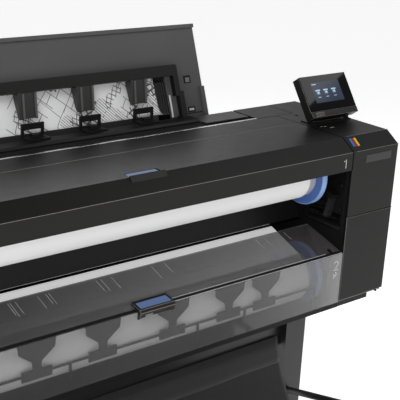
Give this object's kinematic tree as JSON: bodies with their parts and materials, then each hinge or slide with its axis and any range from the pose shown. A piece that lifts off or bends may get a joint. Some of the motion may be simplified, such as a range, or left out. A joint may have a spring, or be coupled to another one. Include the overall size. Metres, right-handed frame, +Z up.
{
  "type": "large format plotter",
  "caption": "Wide inkjet plotter on a caster stand: upper roll under a hinged cover, lower roll in a sliding clear-fronted drawer, tilting touch panel, top output stacker and fabric bin.",
  "frame": {"origin": "on the floor under the middle of the overall box", "axes": "+X to the operator's right along the rolls, +Y to the back, +Z up; the operator stands on the -Y side"},
  "size_m": [1.399, 0.82, 1.1797],
  "materials": {
    "housing_dark": "satin moulded, fine grain",
    "frame_black": "matte",
    "sheet_steel": "zinc plated",
    "bright_strip": "brushed",
    "paper_white": "matte paper",
    "flange_blue": "satin moulded",
    "clear_smoke": "clear smoke-grey plastic",
    "stacker_grey": "satin moulded",
    "gloss_black": "gloss",
    "bin_fabric": "woven",
    "steel_painted": "powder coat",
    "rubber_black": "matte",
    "wheel_grey": "matte",
    "cartridge_grey": "matte"
  },
  "bodies": {
    "chassis": {"base_pan": "sheet_steel", "side_frames": "frame_black", "right_end_cover": "housing_dark", "left_end_cover": "housing_dark", "ink_cartridges": "cartridge_grey", "cartridge_bays": "frame_black", "rear_cover": "housing_dark", "electronics_box": "sheet_steel", "power_inlet": "gloss_black", "bay_panel": "frame_black", "rear_top_cover": "housing_dark", "rear_deck": "housing_dark", "slot_edge_strip": "bright_strip", "stacker_rail": "frame_black", "stacker_ramps": "stacker_grey", "paper_guides": "gloss_black", "stacker_panel": "stacker_grey", "printed_sheet": "paper_white", "paper_lead": "paper_white", "carriage_rails": "sheet_steel", "platen": "frame_black", "carriage_belt": "rubber_black", "carriage_motor": "sheet_steel", "service_station": "frame_black", "panel_base": "housing_dark", "right_leg": "steel_painted", "left_leg": "steel_painted", "cross_beam": "steel_painted", "bin_frame": "steel_painted", "bin_cloth": "bin_fabric"},
    "roll_cover": {"lid": "housing_dark"},
    "roll_1": {"roll1_spindle": "frame_black", "roll1_flanges": "flange_blue", "roll1_paper": "paper_white"},
    "drawer": {"drawer_tray": "frame_black", "drawer_window": "clear_smoke", "drawer_handle": "housing_dark", "guide_arms": "frame_black"},
    "roll_2": {"roll2_spindle": "frame_black", "roll2_flanges": "flange_blue", "roll2_paper": "paper_white"},
    "stacker_gate": {"gate_frame": "housing_dark", "gate_fins": "stacker_grey"},
    "control_panel": {"panel_housing": "gloss_black", "panel_glass": "gloss_black"},
    "power_key": {"power_button": "gloss_black"},
    "right_door": {"right_ink_door": "housing_dark"},
    "left_door": {"left_ink_door": "housing_dark"},
    "print_carriage": {"carriage": "frame_black"},
    "belt_pulley": {"drive_pulley": "bright_strip"},
    "feed_shaft": {"feed_roller": "rubber_black"},
    "pinch_shaft": {"pinch_rollers": "rubber_black"},
    "swivel_front_left": {"caster_fork_front_left": "steel_painted"},
    "wheel_front_left": {"caster_wheel_front_left": "wheel_grey"},
    "swivel_rear_left": {"caster_fork_rear_left": "steel_painted"},
    "wheel_rear_left": {"caster_wheel_rear_left": "wheel_grey"},
    "swivel_front_right": {"caster_fork_front_right": "steel_painted"},
    "wheel_front_right": {"caster_wheel_front_right": "wheel_grey"},
    "swivel_rear_right": {"caster_fork_rear_right": "steel_painted"},
    "wheel_rear_right": {"caster_wheel_rear_right": "wheel_grey"}
  },
  "joints": [
    {"name": "cover_hinge", "type": "hinge", "parent": "chassis", "child": "roll_cover", "pos_m": [0, 0.068, 0.9776], "axis": [-1, 0, 0], "range_deg": [0, 75]},
    {"name": "roll_1_spin", "type": "hinge", "parent": "chassis", "child": "roll_1", "pos_m": [0, -0.017, 0.891], "axis": [1, 0, 0], "continuous": true},
    {"name": "drawer_slide", "type": "slide", "parent": "chassis", "child": "drawer", "axis": [0, -1, 0], "range_m": [0, 0.26]},
    {"name": "roll_2_spin", "type": "hinge", "parent": "drawer", "child": "roll_2", "pos_m": [0, -0.031, 0.652], "axis": [1, 0, 0], "continuous": true},
    {"name": "gate_hinge", "type": "hinge", "parent": "chassis", "child": "stacker_gate", "pos_m": [0.01, 0.244, 0.974], "axis": [1, 0, 0], "range_deg": [0, 40]},
    {"name": "panel_tilt", "type": "hinge", "parent": "chassis", "child": "control_panel", "pos_m": [0.626, 0.053, 0.9885], "axis": [1, 0, 0], "range_deg": [-25, 25]},
    {"name": "power_key_press", "type": "slide", "parent": "control_panel", "child": "power_key", "axis": [0, -0.5693, -0.8221], "range_m": [0, 0.0012], "stiffness_N_per_m": 400},
    {"name": "right_door_hinge", "type": "hinge", "parent": "chassis", "child": "right_door", "pos_m": [0.692, -0.103, 0.69], "axis": [0, 0, 1], "range_deg": [0, 100]},
    {"name": "left_door_hinge", "type": "hinge", "parent": "chassis", "child": "left_door", "pos_m": [-0.692, -0.103, 0.69], "axis": [0, 0, -1], "range_deg": [0, 100]},
    {"name": "carriage_slide", "type": "slide", "parent": "chassis", "child": "print_carriage", "axis": [1, 0, 0], "range_m": [-0.42, 0.42]},
    {"name": "pulley_spin", "type": "hinge", "parent": "chassis", "child": "belt_pulley", "pos_m": [-0.5, 0.104, 0.945], "axis": [0, 1, 0], "continuous": true},
    {"name": "feed_spin", "type": "hinge", "parent": "chassis", "child": "feed_shaft", "pos_m": [0, 0.082, 0.886], "axis": [1, 0, 0], "continuous": true},
    {"name": "pinch_spin", "type": "hinge", "parent": "chassis", "child": "pinch_shaft", "pos_m": [0, 0.082, 0.9044], "axis": [1, 0, 0], "continuous": true},
    {"name": "swivel_front_left_turn", "type": "hinge", "parent": "chassis", "child": "swivel_front_left", "pos_m": [-0.5135, -0.315, 0.075], "axis": [0, 0, 1], "continuous": true},
    {"name": "wheel_front_left_roll", "type": "hinge", "parent": "swivel_front_left", "child": "wheel_front_left", "pos_m": [-0.5135, -0.299, 0.03], "axis": [1, 0, 0], "continuous": true},
    {"name": "swivel_rear_left_turn", "type": "hinge", "parent": "chassis", "child": "swivel_rear_left", "pos_m": [-0.5135, 0.36, 0.075], "axis": [0, 0, 1], "continuous": true},
    {"name": "wheel_rear_left_roll", "type": "hinge", "parent": "swivel_rear_left", "child": "wheel_rear_left", "pos_m": [-0.5135, 0.376, 0.03], "axis": [1, 0, 0], "continuous": true},
    {"name": "swivel_front_right_turn", "type": "hinge", "parent": "chassis", "child": "swivel_front_right", "pos_m": [0.5135, -0.315, 0.075], "axis": [0, 0, 1], "continuous": true},
    {"name": "wheel_front_right_roll", "type": "hinge", "parent": "swivel_front_right", "child": "wheel_front_right", "pos_m": [0.5135, -0.299, 0.03], "axis": [1, 0, 0], "continuous": true},
    {"name": "swivel_rear_right_turn", "type": "hinge", "parent": "chassis", "child": "swivel_rear_right", "pos_m": [0.5135, 0.36, 0.075], "axis": [0, 0, 1], "continuous": true},
    {"name": "wheel_rear_right_roll", "type": "hinge", "parent": "swivel_rear_right", "child": "wheel_rear_right", "pos_m": [0.5135, 0.376, 0.03], "axis": [1, 0, 0], "continuous": true}
  ],
  "couplings": [
    {"joint": "pinch_spin", "follows": "feed_spin", "ratio": -2},
    {"joint": "pulley_spin", "follows": "carriage_slide", "rad_per_m": 95.238}
  ]
}
